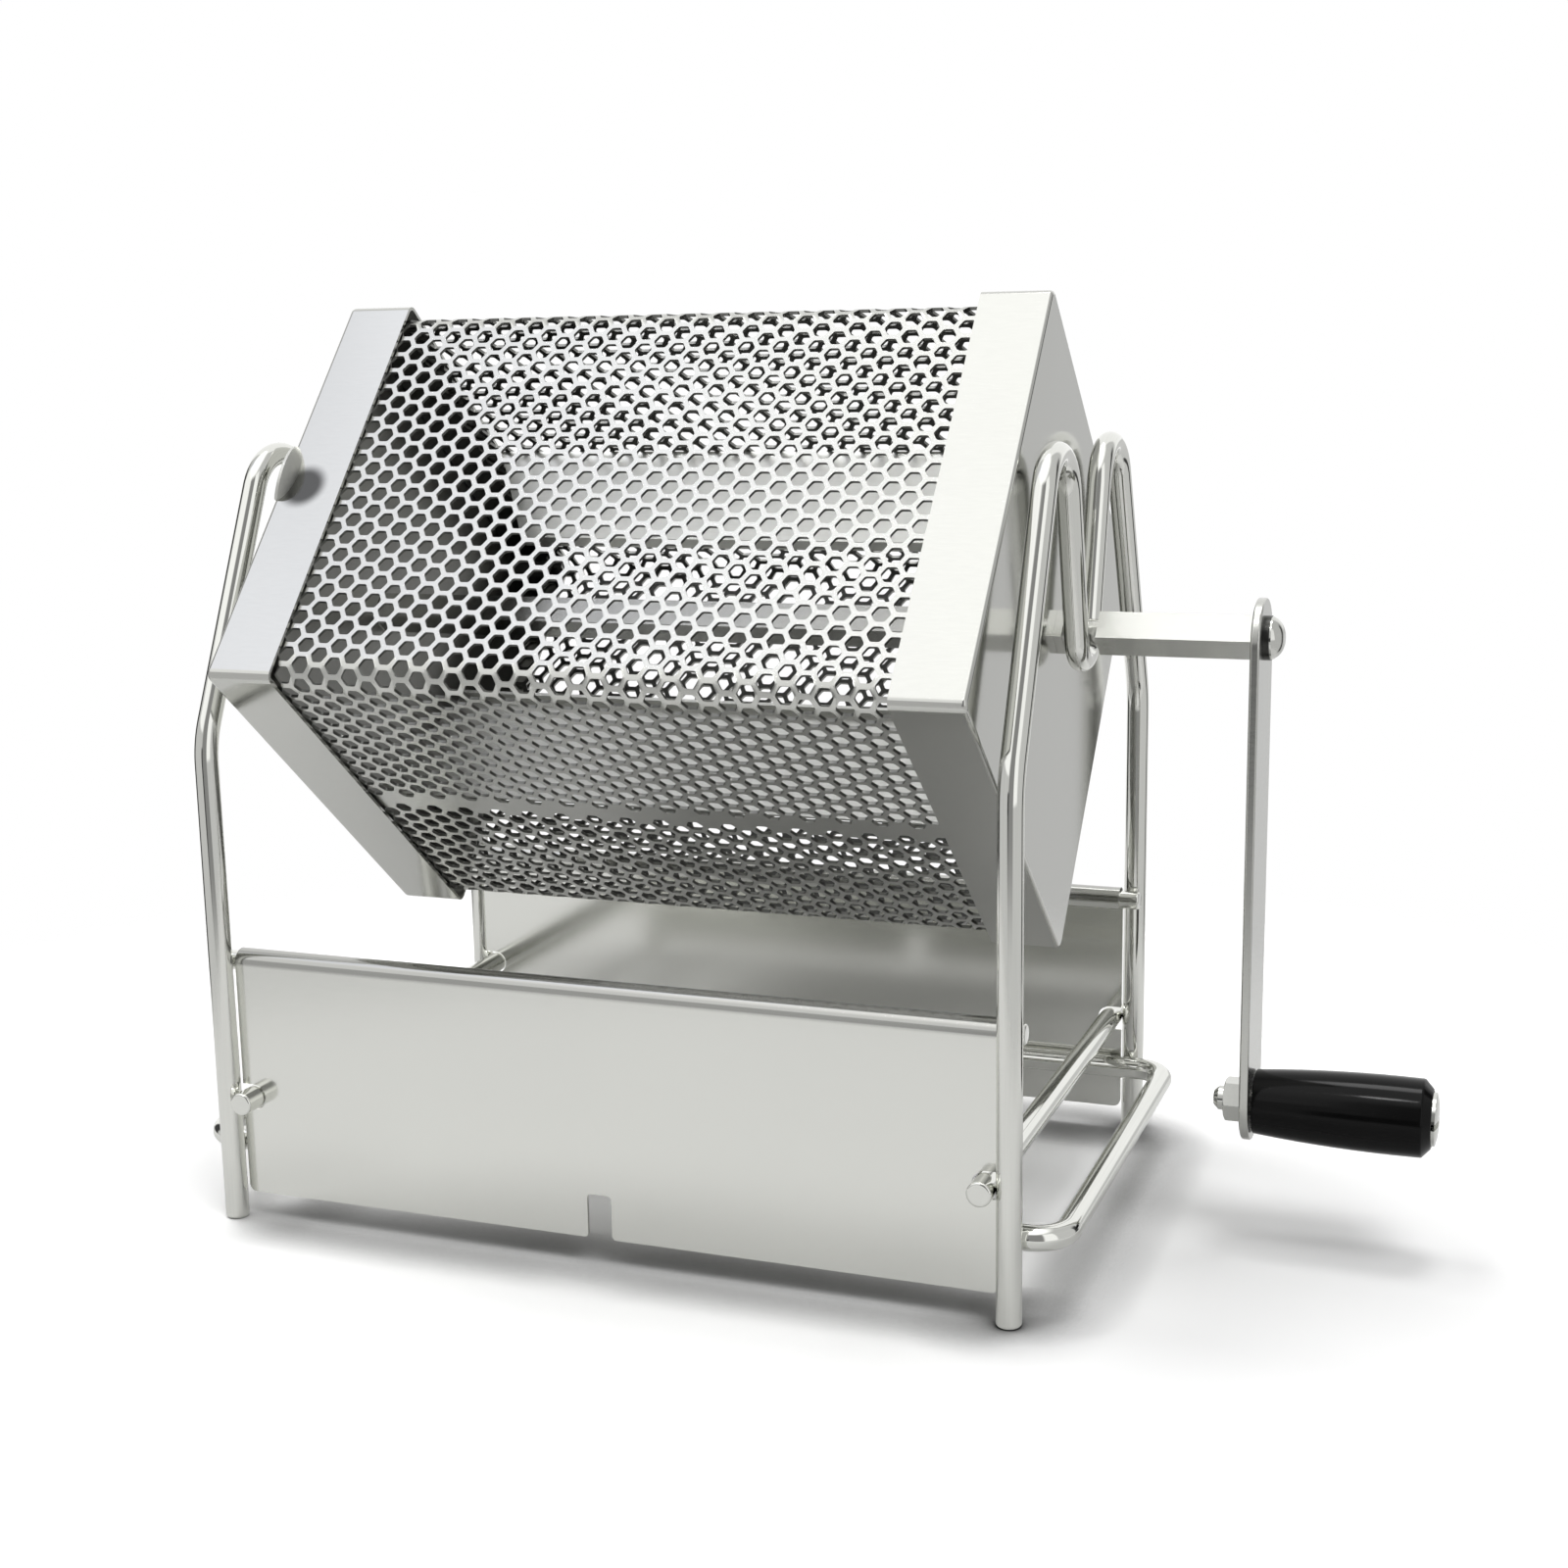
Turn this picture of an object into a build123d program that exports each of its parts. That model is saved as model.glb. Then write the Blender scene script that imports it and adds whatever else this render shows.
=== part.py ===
"""Hand-cranked coffee roaster: a square perforated drum turning in a bent-wire stand.

Millimetres, Z up. X runs along the drum axis with the crank at +X, the front is at -Y and
the floor is Z = 0. The drum hangs with the crank arm straight down.
"""

import os
from math import atan, cos, radians, sin, tan

from build123d import *

# Bent-wire stand
wire_r = 3.0
leg_x = 103.2
leg_y = 68.5
bend_z = 125.0
bend_r = 26.0
outer_lean = atan(0.459)
inner_lean = atan(0.27)
hairpin_top = 197.3
foot_round = 0.9

# Rails and ring welded to the inner sides of the legs
rail_r = 2.5
rail_z = 67.6
rail_reach = 2.5
tie_z = 32.3
tie_reach = 4.4
ring_z = 19.2
ring_reach = 10.6
ring_corner_r = 8.0
wire_end_round = 0.6

# Wind shields
sheet = 0.8
shield_inset = 2.8
shield_bottom = 6.4
shield_corner = 2.0
curl_play = 0.06
curl_sweep = 235.0
slot_play = 0.35
notch_w = 6.4
notch_h = 11.2
notch_r = 1.2

# Drum, square in section
axis_z = 150.0
drum_tilt = radians(49.1)
cap_side = 116.6
cap_left = -92.4
cap_right = 97.0
cap_depth = 17.6
cap_bend = 2.4
cap_edge = 0.5
cap_play = 0.5
mantle_bend = 6.0
lid_gap = 0.3

# Perforation, coarse in the solid
hole_apothem = 6.25
hole_pitch = 18.0

# Mixing vanes
vane_height = 29.5
vane_lip = 4.0
vane_offset = 1.0
vane_foot_left = -73.0
vane_foot_right = 92.0
vane_slant = 15.0

# Shaft
bar = 7.6
shaft_reach = 7.8
neck_r = 3.4
neck_run = 0.08
neck_half = 4.2
bar_play = 0.05
lid_bar_play = 0.3

# Crank
arm_in = 145.0
arm_t = 2.2
arm_w = 22.0
arm_past = 9.5
arm_edge = 0.5
crank_len = 114.7
tenon = 5.6
screw_r = 2.0
screw_play = 0.05
screw_grip = 9.0
screw_head_r = 5.1
screw_head_h = 3.0
screw_rim = 0.4
washer_r = 5.3
washer_t = 1.3

# Shoulder and flat of a domed head, as shares of its rise and radius
dome_shoulder_rise = 0.7
dome_shoulder_r = 0.7
dome_flat = 0.34

# Grip on its bolt
bolt_r = 3.5
thread_r = 3.0
thread_left = 137.5
thread_point = 1.2
thread_tip_r = 1.8
nut_flats = 9.6
nut_t = 4.8
nut_chamfer = radians(30)
grip_run = 0.08
grip_gap = 0.3
grip_end = 189.5
grip_r_in = 7.9
grip_r_mid = 9.2
grip_mid = 0.46
grip_r_out = 9.5
grip_bevel_run = 2.1
grip_bevel_drop = 2.3
grip_bevel_round = 0.8
bolt_head_r = 6.5
bolt_head_in = 187.0
bolt_rim = 0.8
bolt_head_out = 191.0
slot_w = 1.6
slot_d = 2.2

# Finger tab on the lid
tab_chord = 19.4
tab_height = 4.8
tab_flare = 15.0
tab_offset = 1.5

# Derived places
leg_in_y = leg_y - wire_r
rail_half = leg_x + rail_reach
tie_half = leg_y + tie_reach
ring_half_x = leg_x + ring_reach
shield_half = leg_x - shield_inset
shaft_left = -leg_x - shaft_reach
rail_y = leg_in_y - rail_r
ring_y = leg_in_y - wire_r
tie_x = leg_x - 2 * wire_r
cradle_r = neck_r + neck_run + wire_r
cap_half = cap_side / 2
mantle_half = cap_half - sheet - cap_play
wall_in = mantle_half - sheet
arm_out = arm_in + arm_t
grip_z = axis_z - crank_len
mantle_left = cap_left + sheet + lid_gap
mantle_right = cap_right - sheet
along = Vector(0, -cos(drum_tilt), -sin(drum_tilt))
across = Vector(0, sin(drum_tilt), -cos(drum_tilt))


def section(x, y=0.0, z=0.0):
    """Plane across the axis at x, its own x along Y and its own y along Z."""
    return Plane(origin=(x, y, z), x_dir=(0, 1, 0), z_dir=(1, 0, 0))


def drum_section(x):
    """Plane across the axis at x, turned with the drum: T-L along x, T-R along y."""
    return Plane(origin=(x, 0, axis_z), x_dir=along, z_dir=(1, 0, 0))


def wall(normal):
    """Plane through the axis that faces along one wall's normal, its own x along X."""
    return Plane(origin=(0, 0, axis_z), x_dir=(1, 0, 0), z_dir=normal)


def turning_profile(z):
    """Plane through an axis along X at height z, for half profiles that are revolved."""
    return Plane(origin=(0, 0, z), x_dir=(1, 0, 0), z_dir=(0, -1, 0))


def dome(foot, rise, radius):
    """Arc of a domed head from its rim to the small flat at its top."""
    ThreePointArc(
        (foot, radius),
        (foot + dome_shoulder_rise * rise, dome_shoulder_r * radius),
        (foot + rise, dome_flat * radius),
    )


os.makedirs("parts", exist_ok=True)

# Side frames: one rod each, leg, hairpin, cradle, hairpin, leg
valley_z = axis_z - cradle_r / sin(inner_lean)
lean_sum = tan(outer_lean) + tan(inner_lean)
apex_z = (leg_y + tan(outer_lean) * bend_z + tan(inner_lean) * valley_z) / lean_sum
apex_y = tan(inner_lean) * (apex_z - valley_z)
apex_ratio = cos((outer_lean - inner_lean) / 2) / sin((outer_lean + inner_lean) / 2)
hairpin_r = (apex_z - hairpin_top + wire_r) / (apex_ratio - 1)
rod_points = [
    (-leg_y, 0),
    (-leg_y, bend_z),
    (-apex_y, apex_z),
    (0, valley_z),
    (apex_y, apex_z),
    (leg_y, bend_z),
    (leg_y, 0),
]
rod_radii = [bend_r, hairpin_r, cradle_r, hairpin_r, bend_r]

with BuildPart() as side_frame_left:
    with BuildLine(section(-leg_x)) as left_path:
        FilletPolyline(*rod_points, radius=rod_radii)
    with BuildSketch(Plane(origin=(-leg_x, -leg_y, 0), z_dir=(0, 0, 1))):
        Circle(wire_r)
    sweep(path=left_path.line)
    fillet(side_frame_left.edges().group_by(Axis.Z)[0], foot_round)

with BuildPart() as side_frame_right:
    with BuildLine(section(leg_x)) as right_path:
        FilletPolyline(*rod_points, radius=rod_radii)
    with BuildSketch(Plane(origin=(leg_x, -leg_y, 0), z_dir=(0, 0, 1))):
        Circle(wire_r)
    sweep(path=right_path.line)
    fillet(side_frame_right.edges().group_by(Axis.Z)[0], foot_round)

# Top rails, base ring and side ties
with BuildPart() as top_rail_front:
    with BuildSketch(section(-rail_half, -rail_y, rail_z)):
        Circle(rail_r)
    extrude(amount=2 * rail_half)
    fillet(top_rail_front.edges().filter_by(GeomType.CIRCLE), wire_end_round)

with BuildPart() as top_rail_back:
    with BuildSketch(section(-rail_half, rail_y, rail_z)):
        Circle(rail_r)
    extrude(amount=2 * rail_half)
    fillet(top_rail_back.edges().filter_by(GeomType.CIRCLE), wire_end_round)

with BuildPart() as base_ring:
    with BuildLine(Plane.XY.offset(ring_z)) as ring_path:
        FilletPolyline(
            (0, -ring_y),
            (ring_half_x, -ring_y),
            (ring_half_x, ring_y),
            (-ring_half_x, ring_y),
            (-ring_half_x, -ring_y),
            (0, -ring_y),
            radius=[0, ring_corner_r, ring_corner_r, ring_corner_r, ring_corner_r],
        )
    with BuildSketch(section(0, -ring_y, ring_z)):
        Circle(wire_r)
    sweep(path=ring_path.line)

with BuildPart() as side_tie_left:
    with BuildSketch(Plane(origin=(-tie_x, -tie_half, tie_z), z_dir=(0, 1, 0))):
        Circle(wire_r)
    extrude(amount=2 * tie_half)
    fillet(side_tie_left.edges().filter_by(GeomType.CIRCLE), wire_end_round)

with BuildPart() as side_tie_right:
    with BuildSketch(Plane(origin=(tie_x, -tie_half, tie_z), z_dir=(0, 1, 0))):
        Circle(wire_r)
    extrude(amount=2 * tie_half)
    fillet(side_tie_right.edges().filter_by(GeomType.CIRCLE), wire_end_round)

# Wind shields: a flat sheet curled over its top rail, slotted for the ties
curl_in = rail_r + curl_play
curl_out = curl_in + sheet
sheet_out_y = -rail_y - curl_out
sheet_in_y = -rail_y - curl_in
curl_end = radians(180 - curl_sweep)
tie_slot_r = wire_r + slot_play

with BuildPart() as wind_shield_front:
    with BuildSketch(section(-shield_half)):
        with BuildLine():
            Polyline(
                (sheet_out_y, rail_z),
                (sheet_out_y, shield_bottom),
                (sheet_in_y, shield_bottom),
                (sheet_in_y, rail_z),
            )
            CenterArc((-rail_y, rail_z), curl_in, 180, -curl_sweep)
            CenterArc((-rail_y, rail_z), curl_out, 180, -curl_sweep)
            Line(
                (-rail_y + curl_in * cos(curl_end), rail_z + curl_in * sin(curl_end)),
                (-rail_y + curl_out * cos(curl_end), rail_z + curl_out * sin(curl_end)),
            )
        make_face()
    extrude(amount=2 * shield_half)
    with BuildSketch(Plane(origin=(0, sheet_out_y, 0), x_dir=(1, 0, 0), z_dir=(0, -1, 0))):
        with Locations((-tie_x - tie_slot_r, tie_z), (tie_x + tie_slot_r, tie_z)):
            SlotCenterToCenter(2 * tie_slot_r, 2 * tie_slot_r)
        with Locations((0, shield_bottom)):
            Rectangle(notch_w, 2 * notch_h)
    extrude(amount=-sheet, mode=Mode.SUBTRACT)
    notch_edges = wind_shield_front.edges().filter_by(Axis.Y).filter_by_position(
        Axis.X, -notch_w, notch_w
    )
    fillet(notch_edges, notch_r)
    corner_edges = wind_shield_front.edges().filter_by(Axis.Y).group_by(Axis.Z)[0]
    fillet(corner_edges.sort_by(Axis.X)[0], shield_corner)
    right_corner = wind_shield_front.edges().filter_by(Axis.Y).group_by(Axis.Z)[0]
    fillet(right_corner.sort_by(Axis.X)[-1], shield_corner)

with BuildPart() as wind_shield_back:
    add(wind_shield_front.part.rotate(Axis.Z, 180))

# Drum mantle: perforated sheet in two L-bent halves that meet at the top and bottom corners
mantle_len = mantle_right - mantle_left
hole_mid = (mantle_left + mantle_right) / 2
hole_rows = int(2 * (mantle_half - mantle_bend) / hole_pitch)
hole_columns = int((mantle_len - 2 * cap_depth) / (hole_pitch * cos(radians(30))))

with BuildPart() as mantle_front:
    with BuildSketch(drum_section(mantle_left)):
        RectangleRounded(2 * mantle_half, 2 * mantle_half, mantle_bend)
        RectangleRounded(2 * wall_in, 2 * wall_in, mantle_bend - sheet, mode=Mode.SUBTRACT)
        with BuildLine():
            Polyline(
                (-cap_side, -cap_side), (cap_side, cap_side), (-cap_side, cap_side), close=True
            )
        make_face(mode=Mode.SUBTRACT)
    extrude(amount=mantle_len)
    with BuildSketch(wall(-across)):
        with Locations((hole_mid, 0)):
            with HexLocations(hole_pitch / 2, hole_columns, hole_rows):
                RegularPolygon(hole_apothem, 6, major_radius=False, rotation=30)
    extrude(amount=cap_side, mode=Mode.SUBTRACT)
    with BuildSketch(wall(along)):
        with Locations((hole_mid, 0)):
            with HexLocations(hole_pitch / 2, hole_columns, hole_rows):
                RegularPolygon(hole_apothem, 6, major_radius=False, rotation=30)
    extrude(amount=cap_side, mode=Mode.SUBTRACT)

with BuildPart() as mantle_back:
    add(mantle_front.part.rotate(Axis((0, 0, axis_z), (1, 0, 0)), 180))

# Mixing vanes: slant-ended strips with a bent lip, standing on two opposite walls
vane_root = -wall_in
vane_tip = vane_root + vane_height
vane_profile = [
    (vane_root, vane_offset),
    (vane_tip, vane_offset),
    (vane_tip, vane_offset + vane_lip),
    (vane_tip - sheet, vane_offset + vane_lip),
    (vane_tip - sheet, vane_offset + sheet),
    (vane_root, vane_offset + sheet),
]
slant_run = vane_slant * (vane_height + sheet) / vane_height
slant_end = vane_tip + sheet

with BuildPart() as vane_upper:
    with BuildSketch(drum_section(vane_foot_left)):
        with BuildLine():
            Polyline(*vane_profile, close=True)
        make_face()
    extrude(amount=vane_foot_right - vane_foot_left)
    with BuildSketch(wall(across)):
        with BuildLine():
            Polyline(
                (vane_foot_left, vane_root),
                (vane_foot_left + slant_run, slant_end),
                (vane_foot_left - sheet, slant_end),
                (vane_foot_left - sheet, vane_root),
                close=True,
            )
        make_face()
    extrude(amount=cap_half, both=True, mode=Mode.SUBTRACT)
    with BuildSketch(wall(across)):
        with BuildLine():
            Polyline(
                (vane_foot_right, vane_root),
                (vane_foot_right - slant_run, slant_end),
                (vane_foot_right + sheet, slant_end),
                (vane_foot_right + sheet, vane_root),
                close=True,
            )
        make_face()
    extrude(amount=cap_half, both=True, mode=Mode.SUBTRACT)

with BuildPart() as vane_lower:
    add(vane_upper.part.rotate(Axis((0, 0, axis_z), (1, 0, 0)), 180))

# End cap on the crank side: a shallow pan over the mantle
with BuildPart() as end_cap:
    with BuildSketch(drum_section(cap_right)):
        RectangleRounded(cap_side, cap_side, cap_bend)
    extrude(amount=-cap_depth)
    fillet(end_cap.faces().sort_by(Axis.X)[-1].edges(), cap_edge)
    with BuildSketch(drum_section(cap_right - sheet)):
        RectangleRounded(cap_side - 2 * sheet, cap_side - 2 * sheet, cap_bend - sheet)
    extrude(amount=-cap_depth, mode=Mode.SUBTRACT)
    with BuildSketch(drum_section(cap_right)):
        Rectangle(bar + 2 * bar_play, bar + 2 * bar_play)
    extrude(amount=-cap_depth, mode=Mode.SUBTRACT)

# Lid on the far side, the same pan with a finger tab
tab_plane = Plane(
    origin=Vector(cap_left + sheet / 2, 0, axis_z)
    - across * (cap_half - sheet / 2)
    - along * tab_offset,
    x_dir=along,
    z_dir=Vector(1, 0, 0) * cos(radians(tab_flare)) - across * sin(radians(tab_flare)),
)

with BuildPart() as lid:
    with BuildSketch(drum_section(cap_left)):
        RectangleRounded(cap_side, cap_side, cap_bend)
    extrude(amount=cap_depth)
    fillet(lid.faces().sort_by(Axis.X)[0].edges(), cap_edge)
    with BuildSketch(drum_section(cap_left + sheet)):
        RectangleRounded(cap_side - 2 * sheet, cap_side - 2 * sheet, cap_bend - sheet)
    extrude(amount=cap_depth, mode=Mode.SUBTRACT)
    with BuildSketch(drum_section(cap_left)):
        Rectangle(bar + 2 * lid_bar_play, bar + 2 * lid_bar_play)
    extrude(amount=cap_depth, mode=Mode.SUBTRACT)
    with BuildSketch(tab_plane):
        with BuildLine():
            ThreePointArc((-tab_chord / 2, 0), (0, -tab_height), (tab_chord / 2, 0))
            Line((tab_chord / 2, 0), (-tab_chord / 2, 0))
        make_face()
    extrude(amount=sheet / 2, both=True)

# Shaft: a square bar necked round in the two cradles, with a tenon for the crank
with BuildPart() as drive_shaft:
    with BuildSketch(drum_section(shaft_left)):
        Rectangle(bar, bar)
    extrude(amount=arm_in - shaft_left)
    with BuildSketch(drum_section(arm_in)):
        Rectangle(tenon, tenon)
    extrude(amount=arm_t - screw_play)
    with BuildSketch(drum_section(-leg_x)):
        Rectangle(2 * bar, 2 * bar)
        Circle(neck_r, mode=Mode.SUBTRACT)
    extrude(amount=neck_half, both=True, mode=Mode.SUBTRACT)
    with BuildSketch(drum_section(leg_x)):
        Rectangle(2 * bar, 2 * bar)
        Circle(neck_r, mode=Mode.SUBTRACT)
    extrude(amount=neck_half, both=True, mode=Mode.SUBTRACT)
    with BuildSketch(drum_section(arm_out)):
        Circle(screw_r + screw_play)
    extrude(amount=-screw_grip - arm_t, mode=Mode.SUBTRACT)

# Crank arm, its screw and washer
with BuildPart() as crank_arm:
    with BuildSketch(section(arm_in, 0, (axis_z + grip_z) / 2)):
        SlotOverall(crank_len + 2 * arm_past, arm_w, rotation=90)
    extrude(amount=arm_t)
    fillet(crank_arm.faces().sort_by(Axis.X)[0].edges(), arm_edge)
    fillet(crank_arm.faces().sort_by(Axis.X)[-1].edges(), arm_edge)
    with BuildSketch(drum_section(arm_in)):
        Rectangle(tenon + 2 * bar_play, tenon + 2 * bar_play)
    extrude(amount=arm_t, mode=Mode.SUBTRACT)
    with BuildSketch(section(arm_in, 0, grip_z)):
        Circle(thread_r + screw_play)
    extrude(amount=arm_t, mode=Mode.SUBTRACT)

with BuildPart() as crank_washer:
    with BuildSketch(section(arm_out, 0, axis_z)):
        Circle(washer_r)
        Circle(screw_r + screw_play, mode=Mode.SUBTRACT)
    extrude(amount=washer_t)

head_x = arm_out + washer_t
with BuildPart() as crank_screw:
    with BuildSketch(turning_profile(axis_z)):
        with BuildLine():
            Polyline(
                (arm_out - screw_grip, 0),
                (arm_out - screw_grip, screw_r),
                (head_x, screw_r),
                (head_x, screw_head_r),
                (head_x + screw_rim, screw_head_r),
            )
            dome(head_x + screw_rim, screw_head_h - screw_rim, screw_head_r)
            Polyline(
                (head_x + screw_head_h, dome_flat * screw_head_r),
                (head_x + screw_head_h, 0),
                (arm_out - screw_grip, 0),
            )
        make_face()
    revolve(axis=Axis((0, 0, axis_z), (1, 0, 0)))

# Grip bolt with a slotted dome head, its nut, and the grip that spins on it
dome_foot = grip_end + bolt_rim
with BuildPart() as grip_bolt:
    with BuildSketch(turning_profile(grip_z)):
        with BuildLine():
            Polyline(
                (thread_left, 0),
                (thread_left, thread_tip_r),
                (thread_left + thread_point, thread_r),
                (arm_out, thread_r),
                (arm_out, bolt_r),
                (bolt_head_in, bolt_r),
                (bolt_head_in, bolt_head_r),
                (dome_foot, bolt_head_r),
            )
            dome(dome_foot, bolt_head_out - dome_foot, bolt_head_r)
            Polyline(
                (bolt_head_out, dome_flat * bolt_head_r),
                (bolt_head_out, 0),
                (thread_left, 0),
            )
        make_face()
    revolve(axis=Axis((0, 0, grip_z), (1, 0, 0)))
    with BuildSketch(section(bolt_head_out, 0, grip_z)):
        Rectangle(3 * bolt_head_r, slot_w)
    extrude(amount=-slot_d, mode=Mode.SUBTRACT)

with BuildPart() as grip_nut:
    with BuildSketch(section(arm_in, 0, grip_z)):
        RegularPolygon(nut_flats / 2, 6, major_radius=False)
    extrude(amount=-nut_t)
    with BuildSketch(turning_profile(grip_z)):
        with BuildLine():
            Polyline(
                (arm_in - nut_t, nut_flats / 2),
                (arm_in - nut_t, nut_flats),
                (arm_in - nut_t + nut_flats / 2 * tan(nut_chamfer), nut_flats),
                close=True,
            )
        make_face()
    revolve(axis=Axis((0, 0, grip_z), (1, 0, 0)), mode=Mode.SUBTRACT)
    with BuildSketch(section(arm_in, 0, grip_z)):
        Circle(thread_r + screw_play)
    extrude(amount=-nut_t, mode=Mode.SUBTRACT)

grip_in = arm_out + grip_gap
grip_bore = bolt_r + grip_run
head_bore = bolt_head_r + grip_gap
head_floor = bolt_head_in - grip_gap
bevel_in = grip_end - grip_bevel_run
with BuildPart() as grip:
    with BuildSketch(turning_profile(grip_z)):
        with BuildLine():
            ThreePointArc(
                (grip_in, grip_r_in),
                (grip_in + grip_mid * (bevel_in - grip_in), grip_r_mid),
                (bevel_in, grip_r_out),
            )
            Polyline(
                (bevel_in, grip_r_out),
                (grip_end, grip_r_out - grip_bevel_drop),
                (grip_end, head_bore),
                (head_floor, head_bore),
                (head_floor, grip_bore),
                (grip_in, grip_bore),
                (grip_in, grip_r_in),
            )
        make_face()
    revolve(axis=Axis((0, 0, grip_z), (1, 0, 0)))
    round_edges = grip.edges().filter_by(Plane.YZ).sort_by(SortBy.RADIUS)
    fillet(round_edges[-1], grip_bevel_round)

side_frame_left.part.label = "side_frame_left"
export_step(side_frame_left.part, "parts/side_frame_left.step")
side_frame_right.part.label = "side_frame_right"
export_step(side_frame_right.part, "parts/side_frame_right.step")
top_rail_front.part.label = "top_rail_front"
export_step(top_rail_front.part, "parts/top_rail_front.step")
top_rail_back.part.label = "top_rail_back"
export_step(top_rail_back.part, "parts/top_rail_back.step")
base_ring.part.label = "base_ring"
export_step(base_ring.part, "parts/base_ring.step")
side_tie_left.part.label = "side_tie_left"
export_step(side_tie_left.part, "parts/side_tie_left.step")
side_tie_right.part.label = "side_tie_right"
export_step(side_tie_right.part, "parts/side_tie_right.step")
wind_shield_front.part.label = "wind_shield_front"
export_step(wind_shield_front.part, "parts/wind_shield_front.step")
wind_shield_back.part.label = "wind_shield_back"
export_step(wind_shield_back.part, "parts/wind_shield_back.step")
mantle_front.part.label = "mantle_front"
export_step(mantle_front.part, "parts/mantle_front.step")
mantle_back.part.label = "mantle_back"
export_step(mantle_back.part, "parts/mantle_back.step")
vane_upper.part.label = "vane_upper"
export_step(vane_upper.part, "parts/vane_upper.step")
vane_lower.part.label = "vane_lower"
export_step(vane_lower.part, "parts/vane_lower.step")
end_cap.part.label = "end_cap"
export_step(end_cap.part, "parts/end_cap.step")
lid.part.label = "lid"
export_step(lid.part, "parts/lid.step")
drive_shaft.part.label = "drive_shaft"
export_step(drive_shaft.part, "parts/drive_shaft.step")
crank_arm.part.label = "crank_arm"
export_step(crank_arm.part, "parts/crank_arm.step")
crank_washer.part.label = "crank_washer"
export_step(crank_washer.part, "parts/crank_washer.step")
crank_screw.part.label = "crank_screw"
export_step(crank_screw.part, "parts/crank_screw.step")
grip_bolt.part.label = "grip_bolt"
export_step(grip_bolt.part, "parts/grip_bolt.step")
grip_nut.part.label = "grip_nut"
export_step(grip_nut.part, "parts/grip_nut.step")
grip.part.label = "grip"
export_step(grip.part, "parts/grip.step")
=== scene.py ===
# %% [markdown]
# # A hand-cranked coffee roaster, dressed for the camera
#
# The roaster is stainless steel from end to end, apart from one black grip. A square drum of
# perforated sheet turns on a bar that lies in the open bends of a wire stand, and two sheet shields
# keep the wind off the burner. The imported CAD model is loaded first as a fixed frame, in metres, and
# everything below is worked out in that same frame, so nothing has to be fitted by eye.

from math import cos, pi, radians, sin, sqrt, tan

import bpy
import numpy as np
from mathutils import Matrix, Vector


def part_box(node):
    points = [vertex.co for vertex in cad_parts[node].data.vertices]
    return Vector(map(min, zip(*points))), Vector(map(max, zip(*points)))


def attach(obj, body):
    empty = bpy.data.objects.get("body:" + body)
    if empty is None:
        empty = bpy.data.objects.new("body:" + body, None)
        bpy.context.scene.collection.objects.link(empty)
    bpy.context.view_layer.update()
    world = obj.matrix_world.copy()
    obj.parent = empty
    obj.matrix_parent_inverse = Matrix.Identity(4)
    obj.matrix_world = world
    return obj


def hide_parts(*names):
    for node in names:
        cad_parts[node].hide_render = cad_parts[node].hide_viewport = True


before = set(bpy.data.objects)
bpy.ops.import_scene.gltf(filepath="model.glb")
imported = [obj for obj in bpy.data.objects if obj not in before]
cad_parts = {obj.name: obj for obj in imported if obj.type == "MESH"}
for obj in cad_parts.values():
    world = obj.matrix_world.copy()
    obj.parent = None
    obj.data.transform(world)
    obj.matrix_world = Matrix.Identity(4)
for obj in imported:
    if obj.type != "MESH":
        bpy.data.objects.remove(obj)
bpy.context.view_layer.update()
mm = 0.001
scene = bpy.context.scene
print("nodes in the frame:", len(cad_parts))

# %% [markdown]
# ## Camera
#
# The picture is taken from the front right, a little above the drum. A pinhole camera was fitted to
# the straight edges of the object, and its place and two of its axes are written here. The third axis
# is their cross product, so the three always stay square to each other.

# %% Camera
camera_at = np.array([0.22032, -0.51664, 0.21799])
camera_forward = np.array([-0.34700, 0.91741, -0.19483])
camera_right = np.array([0.93638, 0.35059, -0.01690])
camera_lens = 49.876

camera_up = np.cross(camera_right, camera_forward)
camera_data = bpy.data.cameras.new("camera")
camera_data.lens = camera_lens
camera_data.sensor_width = 36.0
camera_data.clip_start = 0.01
camera = bpy.data.objects.new("camera", camera_data)
camera_pose = np.eye(4)
camera_pose[:3, :] = np.column_stack([camera_right, camera_up, -camera_forward, camera_at])
camera.matrix_world = Matrix(camera_pose.tolist())
scene.collection.objects.link(camera)
scene.camera = camera
print("camera up:", camera_up.round(4))

# %% [markdown]
# ## Writing shaders as sums
#
# A finish is easier to read as a formula than as a row of boxes and wires. This small class holds one
# socket of a node tree. Python's own operators on it add Math nodes, also when the number stands
# first, as in 1 - mask, and one method adds any other node with its settings and inputs.

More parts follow.
